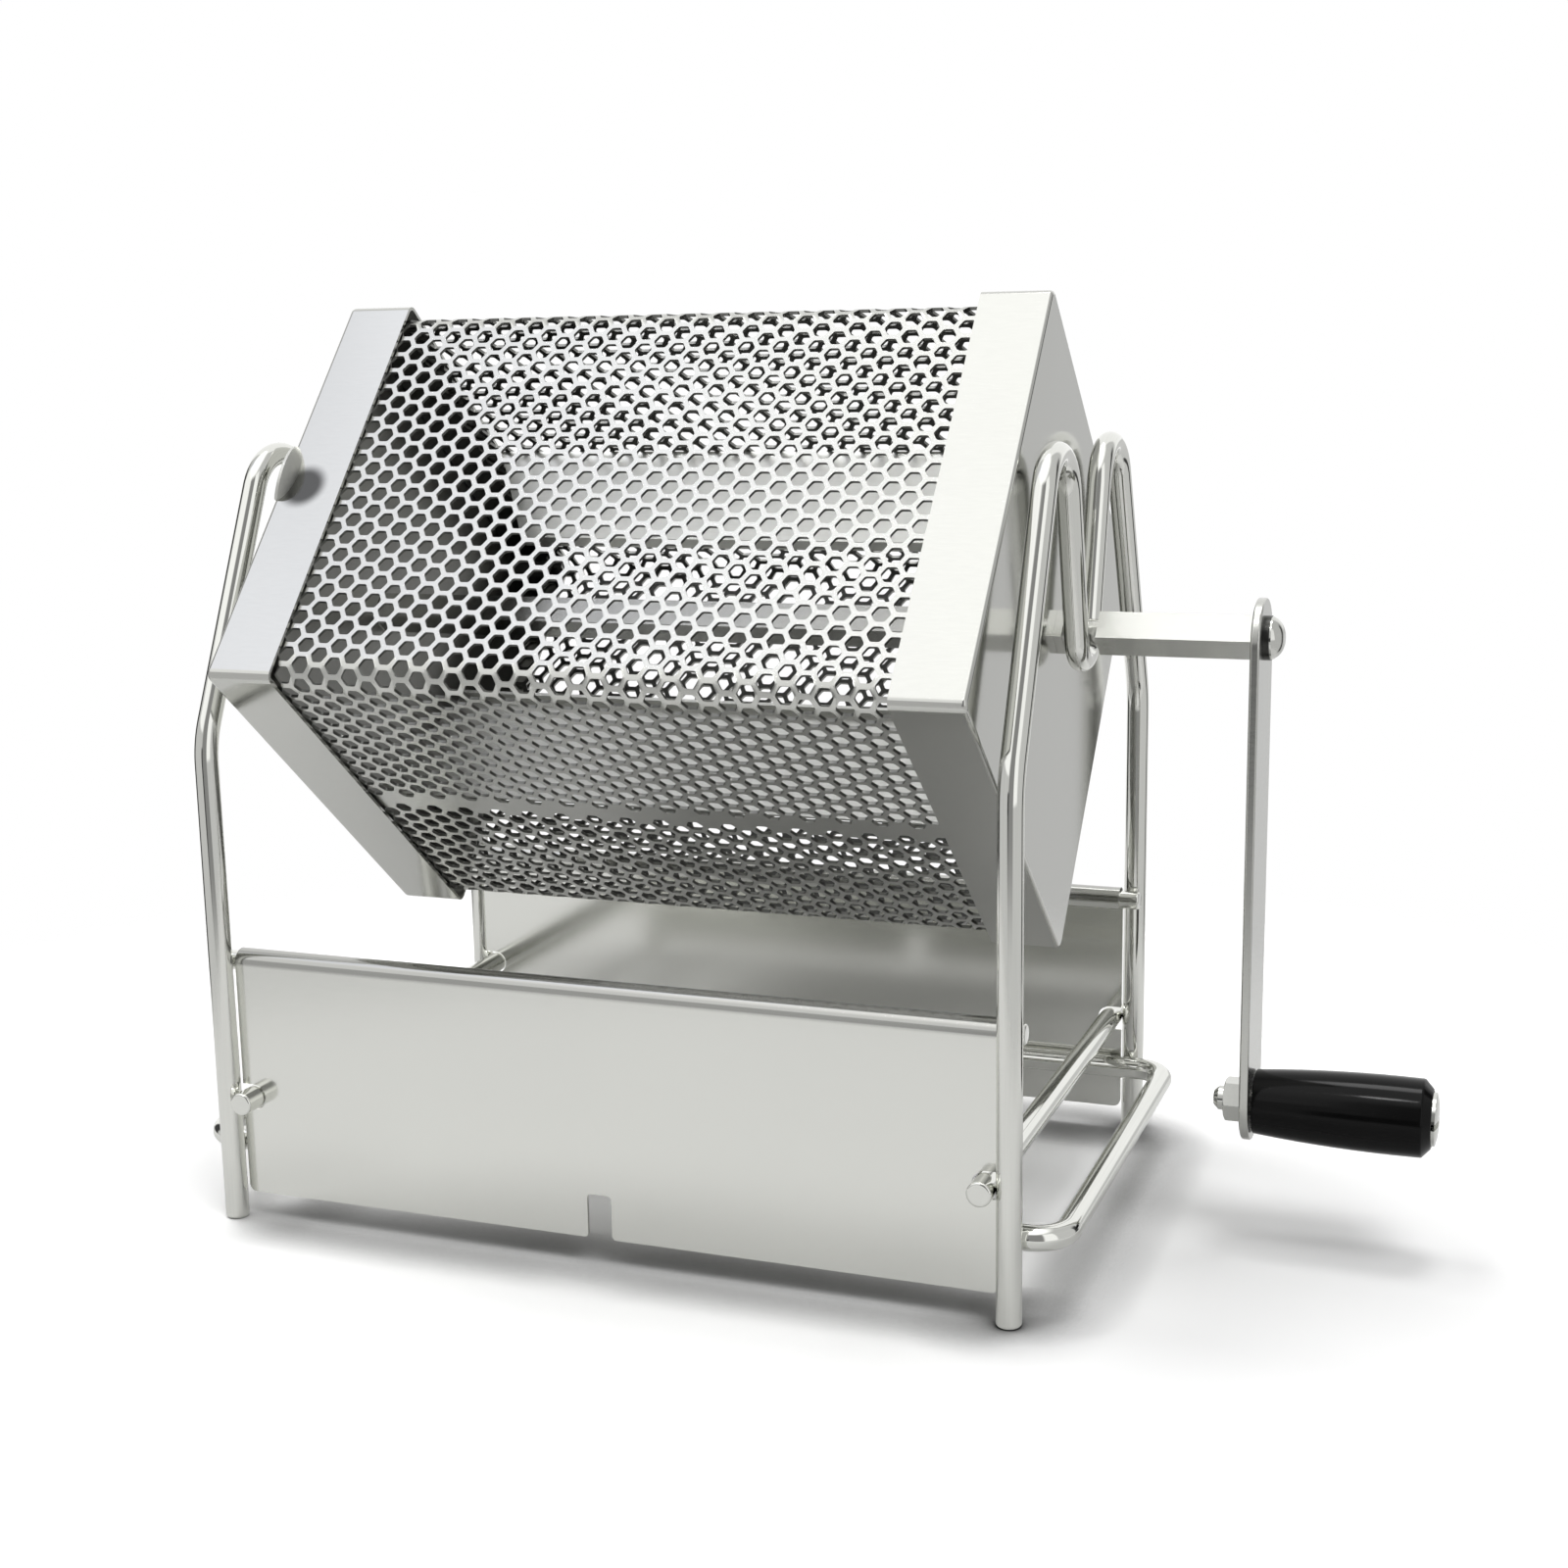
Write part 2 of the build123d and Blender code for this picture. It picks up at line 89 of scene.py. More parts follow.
# %% Shader sums
class Shade:
    """One output socket of a node tree: + - * ** add a Math node, node() adds any other node."""

    def __init__(self, tree, socket=None):
        self.tree = tree
        self.socket = socket

    def node(self, kind, settings=None, inputs=None, output=0):
        """Add a node, set its settings first, then feed its inputs, and hand back one output."""
        made = self.tree.nodes.new(kind)
        for name, value in (settings or {}).items():
            setattr(made, name, value)
        for name, value in (inputs or {}).items():
            if isinstance(value, Shade):
                self.tree.links.new(value.socket, made.inputs[name])
            else:
                made.inputs[name].default_value = value
        return Shade(self.tree, made.outputs[output] if len(made.outputs) else None)

    def maths(self, operation, first, second):
        return self.node("ShaderNodeMath", {"operation": operation}, {0: first, 1: second})

    def __add__(self, other):
        return self.maths("ADD", self, other)

    def __sub__(self, other):
        return self.maths("SUBTRACT", self, other)

    def __rsub__(self, other):
        return self.maths("SUBTRACT", other, self)

    def __mul__(self, other):
        return self.maths("MULTIPLY", self, other)

    def __pow__(self, other):
        return self.maths("POWER", self, other)

    __radd__ = __add__
    __rmul__ = __mul__

    def between(self, low, high):
        """0 below low, 1 above high, and a smooth step in between."""
        smooth = {"interpolation_type": "SMOOTHSTEP"}
        return self.node("ShaderNodeMapRange", smooth, {0: self, 1: low, 2: high})

    def mix(self, factor, first, second):
        """Colour from first to second, as factor goes from 0 to 1."""
        colours = {"data_type": "RGBA"}
        return self.node("ShaderNodeMix", colours, {0: factor, 6: first, 7: second}, 2)


print("shader sums ready")

# %% [markdown]
# ## Studio
#
# Polished steel has no colour of its own to speak of: it shows the room. So the room is drawn with
# care, as levels of light round the object. At the front left and the front right stand light boxes,
# which give the rods their white bands. Between them the camera's side is dim, and darkest where the
# photographer stands, which draws the dark streaks on legs and crank and keeps the grip black. Behind
# the object hangs a white backdrop, and a dark doorway on each side of it draws the dark line along the
# other side of the rods. Overhead is a white panel that ends on the left, so the lid's flange is greyer
# than the cap's. Two small bright spots in it give the bar and the grip their highlights.

# %% Directions in the room
room = bpy.data.worlds.new("studio_room")
room.use_nodes = True
room.node_tree.nodes.clear()
scene.world = room
start = Shade(room.node_tree)
ray = start.node("ShaderNodeTexCoord")
flat_ray = start.node("ShaderNodeVectorMath", {"operation": "MULTIPLY"}, {0: ray, 1: (1, 1, 0)})
flat_ray = start.node("ShaderNodeVectorMath", {"operation": "NORMALIZE"}, {0: flat_ray})


def towards(direction, looking=ray):
    """Cosine of the angle between the ray and a direction."""
    unit = np.array(direction) / np.linalg.norm(direction)
    dot = {"operation": "DOT_PRODUCT"}
    return start.node("ShaderNodeVectorMath", dot, {0: looking, 1: unit.tolist()}, 1)


def upright(azimuth, half_width, soft):
    """1 inside an upright band round the room, given in degrees, with soft edges."""
    middle = (cos(radians(azimuth)), sin(radians(azimuth)), 0)
    inner, outer = cos(radians(half_width)), cos(radians(half_width + soft))
    return towards(middle, flat_ray).between(outer, inner)


def storey(low, high, soft):
    """1 between two heights, given as sines of the elevation, with soft edges."""
    up = towards((0, 0, 1))
    return up.between(low - soft, low) * (1 - up.between(high, high + soft))


print("directions ready")

# %% [markdown]
# Every light in the room is laid over the ones before it, each by its own mask. The camera itself sees
# plain white behind the object, and matte surfaces, which here means the floor, get an even sky. High
# on the left the light is a touch cooler, which shows in the lid's flange.

# %% Room
room_level = 0.68
left_box_level = 1.25
right_box_level = 1.20
dim_level = 0.30
dark_level = 0.06
backdrop_level = 1.12
panel_level = 1.74
glow_level = 8.0
strip_level = 28.0
sky_level = 0.30
neutral = (1, 1, 1, 1)
cool_tint = (0.98, 0.99, 1.065, 1)
cool_from = (-0.52, -0.17, 0.83)
cool_edge = (0.965, 0.99)

layers = [
    (upright(-137, 32, 6) * storey(0.40, 0.78, 0.06), left_box_level),
    (upright(-38, 13, 6) * storey(-0.05, 0.75, 0.08), right_box_level),
    (upright(-76, 17, 6) * storey(-0.22, 0.75, 0.06), dim_level),
    (upright(-97, 4, 3) * storey(-0.20, 0.10, 0.06), dark_level),
    (upright(118, 31, 4), backdrop_level),
    (upright(105, 45, 8) * storey(0.12, 1.0, 0.06), backdrop_level),
    (upright(168, 11, 7) * storey(-1.0, 0.35, 0.25), dark_level),
    (upright(40, 4, 5) * storey(-1.0, 0.35, 0.25), dark_level),
    (towards((-0.1, -0.2, 0.97)).between(0.80, 0.962), panel_level),
    (towards((-0.09, 0.20, 0.97)).between(0.988, 0.996), glow_level),
    (towards((-0.09, -0.43, 0.90)).between(0.9988, 0.9997), strip_level),
]
level = room_level
for mask, laid in layers:
    level = level + (laid - level) * mask

is_camera = start.node("ShaderNodeLightPath", output="Is Camera Ray")
is_through = start.node("ShaderNodeLightPath", output="Is Transmission Ray")
is_glossy = start.node("ShaderNodeLightPath", output="Is Glossy Ray")
seen = (is_camera + is_through).between(0, 1)
shown = sky_level + (level - sky_level) * is_glossy
strength = shown + (1 - shown) * seen
cool_side = towards(cool_from).between(*cool_edge) * is_glossy
colour = start.mix(cool_side, neutral, cool_tint)
background = start.node("ShaderNodeBackground", {}, {"Color": colour, "Strength": strength})
start.node("ShaderNodeOutputWorld", {}, {"Surface": background})
print("lights laid over the grey room:", len(layers))

# %% [markdown]
# Three lamps are there for the shadows. A small panel nearly straight overhead gives the grip's shadow,
# which lies under the grip and has a fairly crisp rim. A large softbox high on the left leaves the broad,
# faint shadow on the right, and a weaker one on the right lights the floor inside the stand. Lit by a
# lamp of power P at the distance d, a white floor is as bright as P / (pi * d)^2, so each power follows
# from the share of the light that the lamp should give.

# %% Lamps
lamps = [
    ("overhead_panel", (0.20, 0.25, 1.8), 0.40, 0.15),
    ("right_softbox", (0.9, -0.6, 2.0), 1.0, 0.22),
    ("left_softbox", (-0.9, 0.2, 2.0), 1.0, 0.35),
]
for name, at, side, share in lamps:
    distance = np.linalg.norm(at)
    lamp_data = bpy.data.lights.new(name, "AREA")
    lamp_data.shape = "SQUARE"
    lamp_data.size = side
    lamp_data.energy = share * (pi * distance) ** 2 * distance / at[2]
    lamp = bpy.data.objects.new(name, lamp_data)
    lamp.matrix_world = Matrix.Translation(at) @ Vector(at).to_track_quat("Z", "Y").to_matrix().to_4x4()
    lamp.visible_glossy = False
    scene.collection.objects.link(lamp)
    print(name, round(lamp_data.energy, 1), "W")

# %% [markdown]
# The floor is a white disc. The camera sees it exposed to pure white, as in a catalogue picture, so only
# the deeper part of the shadow shows. Right at the feet and under the shields it is painted darker, as
# painted contact shade, by how much of the space just above it is closed off, but not past the left
# feet, where the strongest light comes from. In the steel it shows as a light grey, and light that it
# throws back comes from an ordinary white. Towards its rim the disc goes clear and the room's white
# takes over, so no horizon shows from any side.

# %% Floor
floor_radius = 0.40
floor_rings, floor_spokes = 6, 64
floor_fade = (0.25, 0.37)
floor_seen = 1.32
floor_mirrored = 0.87
floor_white = 0.90
contact_reach = 0.022
contact_samples = 12
contact_depth = 3.4
contact_from = (-0.110, -0.080)


def disc(name, radius, rings, spokes):
    """Disc at height 0: circles of growing radius round one point, each joined to the next."""
    turn = np.linspace(0, 2 * pi, spokes, endpoint=False)
    reach = np.linspace(0, radius, rings + 1)[1:, None]
    circles = np.stack([reach * np.cos(turn), reach * np.sin(turn), 0 * reach * turn], -1)
    points = np.vstack([np.zeros((1, 3)), circles.reshape(-1, 3)])
    place = 1 + np.arange(rings * spokes).reshape(rings, spokes)
    after = np.roll(place, -1, axis=1)
    fan = np.stack([np.zeros(spokes, int), place[0], after[0]], -1)
    quads = np.stack([place[:-1], place[1:], after[1:], after[:-1]], -1).reshape(-1, 4)
    mesh = bpy.data.meshes.new(name)
    mesh.from_pydata(points.tolist(), [], fan.tolist() + quads.tolist())
    return bpy.data.objects.new(name, mesh)


floor = disc("floor", floor_radius, floor_rings, floor_spokes)
scene.collection.objects.link(floor)

floor_paint = bpy.data.materials.new("floor_paint")
floor_paint.use_nodes = True
floor_paint.node_tree.nodes.clear()
paint = Shade(floor_paint.node_tree)
place = paint.node("ShaderNodeTexCoord", output=3)
reach = paint.node("ShaderNodeVectorMath", {"operation": "LENGTH"}, {0: place}, 1)
is_camera = paint.node("ShaderNodeLightPath", output="Is Camera Ray")
is_glossy = paint.node("ShaderNodeLightPath", output="Is Glossy Ray")
closing = {"samples": contact_samples}
# painted contact shade: the floor's colour darkens by how closed off the space just above it is
contact = paint.node("ShaderNodeAmbientOcclusion", closing, {"Distance": contact_reach}, 1)
dot = {"operation": "DOT_PRODUCT"}
rightwards = paint.node("ShaderNodeVectorMath", dot, {0: place, 1: (1, 0, 0)}, 1)
seen = floor_seen * contact ** (contact_depth * rightwards.between(*contact_from))
white = floor_white + (seen - floor_white) * is_camera + (floor_mirrored - floor_white) * is_glossy
colour = paint.node("ShaderNodeCombineColor", {}, {0: white, 1: white, 2: white})
matte = paint.node("ShaderNodeBsdfDiffuse", {}, {"Color": colour})
clear = paint.node("ShaderNodeBsdfTransparent")
faded = paint.node("ShaderNodeMixShader", {}, {0: reach.between(*floor_fade), 1: matte, 2: clear})
paint.node("ShaderNodeOutputMaterial", {}, {"Surface": faded})
floor.data.materials.append(floor_paint)
print("floor of", floor_radius, "m")

# %% [markdown]
# ## Finishes
#
# Every finish here is bare steel but one. Most are told apart by how they were worked: drawn rod has
# faint lines along its length, sheet has a rolled grain, bar is brushed, and turned heads are plain.
# Some are lighter and darker copies of one steel, as painted light and shade: the wall sheet outside,
# at its hole edges and inside, the pans outside and inside, and the upper and lower vane. All of them
# share one recipe: a metal whose shade and roughness wander a little, with fine lines. The rods carry
# their own coordinate, the lay, which runs along each bent rod and round it, so that the lines follow
# the bends; the other pieces use their place in the object. Two finishes have more to them: the
# shields' curl, bent over its rail, is painted darker than the flat sheet, as painted shade over its
# bright reflection, and the lid has the tab's painted shadow beside the tab.

# %% Steel recipe
grain_shade, smudge_shade = 0.12, 0.04
grain_rough, smudge_rough = 0.4, 0.25
grain_bump, grain_height = 0.008, 0.2 * mm
smudge_scale = 18.0
steel_green, steel_blue = 1.005, 0.955


def steel(name, grey, roughness, grain, lines, lay=False, painted_shadow=None, shaded_above=None):
    """Metal: its grain is noise stretched by three scales, its smudges a soft cloud.

    A painted shadow is a place, the radius up to which it is even, the radius at which it ends, and its
    depth.
    Above a height it is painted darker, as shade, by a share that is reached at a second height.
    """
    made = bpy.data.materials.new(name)
    made.use_nodes = True
    made.node_tree.nodes.clear()
    tree = Shade(made.node_tree)
    place = tree.node("ShaderNodeTexCoord", output=3)
    along = place
    if lay:
        along = tree.node("ShaderNodeAttribute", {"attribute_name": "lay"}, output=1)
    stretched = tree.node("ShaderNodeMapping", {}, {"Vector": along, "Scale": grain})
    fine = tree.node("ShaderNodeTexNoise", {}, {"Vector": stretched, "Scale": 1.0, "Detail": 3.0})
    smudge = tree.node("ShaderNodeTexNoise", {}, {"Vector": place, "Scale": smudge_scale, "Detail": 4.0})
    shade = grey * (1 + grain_shade * lines * (fine - 0.5) + smudge_shade * (smudge - 0.5))
    # painted shadow: the colour is darkened round one point
    if painted_shadow:
        middle, even, end, depth = painted_shadow
        away = tree.node("ShaderNodeVectorMath", {"operation": "DISTANCE"}, {0: place, 1: middle}, 1)
        shade = shade * (1 - depth * (1 - away.between(even, end)))
    # painted shade: the colour is darker above a height
    if shaded_above:
        low, high, share = shaded_above
        upwards = {"operation": "DOT_PRODUCT"}
        height = tree.node("ShaderNodeVectorMath", upwards, {0: place, 1: (0, 0, 1)}, 1)
        shade = shade * (1 - share * height.between(low, high))
    channels = {0: shade, 1: steel_green * shade, 2: steel_blue * shade}
    colour = tree.node("ShaderNodeCombineColor", {}, channels)
    rough = roughness * (1 + grain_rough * lines * (fine - 0.5) + smudge_rough * (smudge - 0.5))
    relief = {"Strength": grain_bump * lines, "Distance": grain_height, "Height": fine}
    bump = tree.node("ShaderNodeBump", {}, relief)
    metal = tree.node(
        "ShaderNodeBsdfPrincipled",
        {},
        {"Base Color": colour, "Metallic": 1.0, "Roughness": rough, "Normal": bump},
    )
    tree.node("ShaderNodeOutputMaterial", {}, {"Surface": metal})
    return made


wall_grain = (120, 2500, 2500)
vane_grain = (80, 2500, 2500)
pan_grain = (300, 1800, 1800)
even_grain = (900, 900, 900)
curl_deep, curl_fade, curl_share = 4.2 * mm, 3.0 * mm, 0.42

wire_polish = steel("wire_polish", 0.72, 0.07, (40, 2600, 2600), 1.0, lay=True)
curl_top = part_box("wind_shield_front")[1].z
# painted shade: the curl's colour is darker, to tone down its bright reflection
curl_shade = (curl_top - curl_deep, curl_top - curl_fade, curl_share)
shield_satin = steel("shield_satin", 0.75, 0.14, (40, 3000, 1500), 0.15, shaded_above=curl_shade)
wall_bright = steel("wall_bright", 0.55, 0.24, wall_grain, 0.8)
# painted shade: the hole edges are greyer and the sheet's inside is dark, as they look in shade
wall_edge_shade = steel("wall_edge_shade", 0.30, 0.35, even_grain, 0.5)
wall_inside_shade = steel("wall_inside_shade", 0.08, 0.40, wall_grain, 0.8)
# painted light and shade: two copies of one vane steel, the upper lighter, the lower darker
vane_painted_light = steel("vane_painted_light", 0.86, 0.34, vane_grain, 0.8)
vane_painted_shade = steel("vane_painted_shade", 0.62, 0.34, vane_grain, 0.8)
pan_polish = steel("pan_polish", 0.55, 0.12, pan_grain, 0.5)
# painted shade: the pans' inside is rougher and a darker grey than their outside
pan_inside_shade = steel("pan_inside_shade", 0.45, 0.35, pan_grain, 0.5)
bar_brush = steel("bar_brush", 0.55, 0.20, (60, 3000, 3000), 1.0)
head_turned = steel("head_turned", 0.60, 0.10, even_grain, 0.6)
washer_dark = steel("washer_dark", 0.06, 0.30, even_grain, 0.6)
print("steel finishes ready")

# %% [markdown]
# The grip is turned and lacquered black, with a shallow peel in the lacquer.

# %% Black grip finish
grip_shine = 0.12
grip_grey = 0.003
grip_rough, haze_rough = 0.07, 0.08
peel_scale, haze_scale = 600.0, 90.0
peel_bump, peel_height = 0.02, 0.3 * mm

grip_black = bpy.data.materials.new("grip_black")
grip_black.use_nodes = True
grip_black.node_tree.nodes.clear()
tree = Shade(grip_black.node_tree)
place = tree.node("ShaderNodeTexCoord", output=3)
peel = tree.node("ShaderNodeTexNoise", {}, {"Vector": place, "Scale": peel_scale, "Detail": 2.0})
haze = tree.node("ShaderNodeTexNoise", {}, {"Vector": place, "Scale": haze_scale, "Detail": 4.0})
relief = {"Strength": peel_bump, "Distance": peel_height, "Height": peel}
bump = tree.node("ShaderNodeBump", {}, relief)
shade = grip_grey + grip_grey * haze
colour = tree.node("ShaderNodeCombineColor", {}, {0: shade, 1: shade, 2: shade})
lacquer = tree.node(
    "ShaderNodeBsdfPrincipled",
    {},
    {
        "Base Color": colour,
        "Roughness": grip_rough + haze_rough * haze,
        "Specular IOR Level": grip_shine,
        "Normal": bump,
    },
)
tree.node("ShaderNodeOutputMaterial", {}, {"Surface": lacquer})
print("grip finish ready")

# %% [markdown]
# ## Perforated walls
#
# The drum's walls are honeycomb sheet: hexagon holes with narrow webs. Cutting thousands of holes out
# of a sheet with booleans is slow and leaves ragged faces. Instead the sheet is laid out flat as a
# tiling of hexagon cells with a hole in each, and the flat tiling is then wrapped round the bends of
# the drum, as the real sheet is pressed. Cells share their corners, so the sheet is one piece.

# %% Hexagon cells
sheet = 0.8 * mm
hole_share = 0.765
hole_corner_turn = radians(9)
same_point = 1e-3


def hexagon_cell(pitch):
    """Six corners of a cell and the 18 points of its hole, round the cell's own centre.

    The corners lie at pitch / sqrt(3), at 0, 60, 120 ... degrees. The hole is the same hexagon drawn
    in to its share, and each of its corners is rounded: a point before it, one on it, one after it.
    """
    corner_turn = np.radians(60 * np.arange(6))
    corners = np.stack([np.cos(corner_turn), np.sin(corner_turn)], -1) * pitch / sqrt(3)
    flat = pitch / 2 * hole_share
    beside = flat / cos(pi / 6 - hole_corner_turn)
    rounding = 1 - tan(pi / 6 - hole_corner_turn) / tan(pi / 6)
    on_corner = flat / cos(pi / 6) - rounding * flat * (1 / cos(pi / 6) - 1)
    turn = corner_turn[:, None] + np.array([-hole_corner_turn, 0, hole_corner_turn])
    reach = np.array([beside, on_corner, beside])
    hole = np.stack([np.cos(turn) * reach, np.sin(turn) * reach], -1).reshape(18, 2)
    return corners, hole


print("hole across flats in a 5.3 mm pitch:", round(5.3 * hole_share, 2), "mm")

# %% [markdown]
# A cell is cut into six sectors, one for each side. Whole cells use all six. Along the two seams every
# other column has its holes cut in half by the sheet's edge, and those cells keep three sectors, so
# the holes run on over the seam. Plain margins at both ends go out of sight under the pans. The row
# on which the lower vane stands shows as a plain strip on the front, so its cells keep no hole.

# %% Flat honeycomb
def flat_honeycomb(left, right, first, columns, rows, pitch, plain_rows):
    """Points (x, s) and the three- and four-sided faces of a sheet from s = 0 to rows * pitch.

    Sectors are joined where their points lie within a small share of the pitch of each other. The cells
    of plain rows have their holes filled, with triangles round each cell's centre.
    """
    corners, hole = hexagon_cell(pitch)
    column, row = np.meshgrid(np.arange(columns), np.arange(rows + 1), indexing="ij")
    odd = column % 2 == 1
    kept = odd | (row < rows)
    centre_s = (row + np.where(odd, 0, 0.5)) * pitch
    centre_x = first + column * pitch * sqrt(3) / 2
    centres = np.stack([centre_x, centre_s], -1)[kept]
    side = np.arange(6)
    upper = (side < 3)[None, :]
    low_half = (odd & (row == 0))[kept][:, None]
    high_half = (odd & (row == rows))[kept][:, None]
    cell, side = np.nonzero(~(low_half & ~upper) & ~(high_half & upper))

    following = (side + 1) % 6
    picks = [corners[side], corners[following]]
    picks += [hole[3 * side + 1], hole[3 * side + 2], hole[3 * following], hole[3 * following + 1]]
    stacked = centres[cell][:, None] + np.stack(picks, 1)
    key = np.round(stacked.reshape(-1, 2) / (pitch * same_point)).astype(np.int64)
    _, chosen, number = np.unique(key, axis=0, return_index=True, return_inverse=True)
    points = stacked.reshape(-1, 2)[chosen]
    o1, o2, h1, h2, h3, h4 = number.reshape(-1, 6).T
    triangles = np.vstack([np.stack([o1, h2, h1], -1), np.stack([o2, h4, h3], -1)])
    quads = np.stack([o1, o2, h3, h2], -1)

    plain = np.isin(row - odd, plain_rows)[kept][cell]
    plain_cells, which = np.unique(cell[plain], return_inverse=True)
    middle = len(points) + which
    points = np.vstack([points, centres[plain_cells]])
    for one, other in ((h1, h2), (h2, h3), (h3, h4)):
        triangles = np.vstack([triangles, np.stack([middle, one[plain], other[plain]], -1)])

    is_corner = np.zeros(len(points), bool)
    is_corner[np.concatenate([o1, o2])] = True
    a, b = open_edges(triangles, quads, len(points))
    along_end = is_corner[a] & is_corner[b] & (np.abs(points[a, 1] - points[b, 1]) > pitch / 4)
    a, b = a[along_end], b[along_end]
    rim = np.unique(np.concatenate([a, b]))
    outward = np.where(points[rim, 0] > (left + right) / 2, right, left)
    spare = len(points) + np.arange(len(rim))
    moved = np.zeros(len(points), np.int64)
    moved[rim] = spare
    points = np.vstack([points, np.stack([outward, points[rim, 1]], -1)])
    quads = np.vstack([quads, np.stack([b, a, moved[a], moved[b]], -1)])
    return points, triangles, quads


def open_edges(triangles, quads, count):
    """Edges that only one face has, as two arrays, in the direction in which that face runs."""
    pairs = [np.stack([f, np.roll(f, -1, axis=1)], -1).reshape(-1, 2) for f in (triangles, quads)]
    a, b = np.vstack(pairs).T
    alone = ~np.isin(a * count + b, b * count + a)
    return a[alone], b[alone]


print("flat honeycomb ready")

# %% [markdown]
# The drum stands on one corner, and its section is a square with rounded corners. Seen along the axis,
# a point of the sheet is one corner of an inner square, carried along the two walls, plus the bend's
# radius in the direction that the sheet faces. That one sentence covers walls and bends alike.

# %% Round the drum
drum_tilt = radians(49.1)
axis_z = 150 * mm
mantle_half = 57.0 * mm
mantle_bend = 6.0 * mm
seam_facing = radians(225)
down_wall = np.array([0, -cos(drum_tilt), -sin(drum_tilt)])
across_wall = np.array([0, sin(drum_tilt), -cos(drum_tilt)])

middle_bend = mantle_bend - sheet / 2
core = mantle_half - mantle_bend
half_bend = middle_bend * pi / 4
walls_start = np.array([half_bend, 3 * half_bend + 2 * core])
unrolled = 4 * half_bend + 4 * core


def in_drum(x, u, v):
    """Point at x along the axis, u down the front wall's direction and v across it."""
    middle = np.array([0, 0, axis_z])
    return middle + x[:, None] * np.array([1, 0, 0]) + u[:, None] * down_wall + v[:, None] * across_wall


def round_the_drum(points, outward, half_turn):
    """Wrap sheet points (x, s): core corner, carried along both walls, plus the bend's radius."""
    x, s = points.T
    u = -core + np.clip(s - walls_start[0], 0, 2 * core)
    v = -core + np.clip(s - walls_start[1], 0, 2 * core)
    bent = s - (u + core) - (v + core)
    facing = seam_facing + bent / middle_bend
    reach = middle_bend + outward
    u = u + reach * np.cos(facing)
    v = v + reach * np.sin(facing)
    return in_drum(x, half_turn * u, half_turn * v)


print("sheet laid flat:", round(unrolled / mm, 1), "mm from seam to seam")

# %% [markdown]
# Every new piece goes through one function, which takes arrays of points and faces. Its faces are shaded
# smooth, apart from edges sharper than an angle. A narrow rounded rim would still bend the shading of
# the flat face beside it, so each corner's normal is weighted by the size of its faces.

# %% Mesh from arrays
sharp_angle = radians(35)


def piece(name, points, face_lists, body, replaced, finishes, finish_of_list=None):
    """Object of points and faces; each list of faces has one side count and one finish."""
    mesh = bpy.data.meshes.new(name)
    faces = [face for faces in face_lists for face in faces.tolist()]
    mesh.from_pydata(points.tolist(), [], faces)
    for finish in finishes:
        mesh.materials.append(finish)
    if finish_of_list:
        number = np.repeat(finish_of_list, [len(faces) for faces in face_lists])
        mesh.polygons.foreach_set("material_index", number.astype(np.int32))
    mesh.shade_smooth()
    mesh.set_sharp_from_angle(angle=sharp_angle)
    mesh.update()
    made = bpy.data.objects.new(name, mesh)
    scene.collection.objects.link(made)
    level_faces = made.modifiers.new("level_faces", "WEIGHTED_NORMAL")
    level_faces.keep_sharp = True
    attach(made, body)
    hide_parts(*replaced)
    print(name, len(mesh.vertices), "points,", len(mesh.polygons), "faces")
    return made


print("pieces can be made")

# %% [markdown]
# Each mantle is a flat sheet wrapped round half the drum, the back one half a turn on. The rows are
# counted so that they fill the sheet from seam to seam, and the holes run on over both seams. The front
# mantle's plain row lies three quarters of the way along, in the middle of its lower wall. The sheet is
# bright outside. Its cut edges are rougher and painted greyer, and its inside is painted dark, both as
# painted shade, the way they look through the holes.

# %% Mantles
row_pitch = 5.28 * mm
hidden_columns = 1.5
plain_row_at = 0.75

mantle_low, mantle_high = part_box("mantle_front")
lid_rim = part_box("lid")[1].x
cap_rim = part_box("end_cap")[0].x
rows = round(unrolled / row_pitch)
pitch = unrolled / rows
front_plain_row = int(plain_row_at * rows)
column_step = pitch * sqrt(3) / 2
columns = int((cap_rim - lid_rim) / column_step + 2 * hidden_columns)
first_column = (lid_rim + cap_rim - (columns - 1) * column_step) / 2
for name, half_turn, plain_rows in (("mantle_front", 1, [front_plain_row]), ("mantle_back", -1, [])):
    flat_points, triangles, quads = flat_honeycomb(
        mantle_low.x, mantle_high.x, first_column, columns, rows, pitch, plain_rows
    )
    count = len(flat_points)
    outer = round_the_drum(flat_points, sheet / 2, half_turn)
    inner = round_the_drum(flat_points, -sheet / 2, half_turn)
    a, b = open_edges(triangles, quads, count)
    walls = np.stack([a, b, b + count, a + count], -1)
    piece(
        name + "_sheet",
        np.vstack([outer, inner]),
        [triangles[:, ::-1], quads[:, ::-1], walls, triangles + count, quads + count],
        "drum",
        [name],
        [wall_bright, wall_edge_shade, wall_inside_shade],
        [0, 0, 1, 2, 2],
    )
print("rows", rows, "columns", columns, "pitch", round(pitch / mm, 3), "mm")

# %% [markdown]
# ## Bent rods
#
# The stand is drawn rod, bent cold and welded. Each rod is a circle carried along its path. A path is
# given by its corners and bend radii, just as it would be for a bending jig, and lies in one plane, so
# the circles never twist.

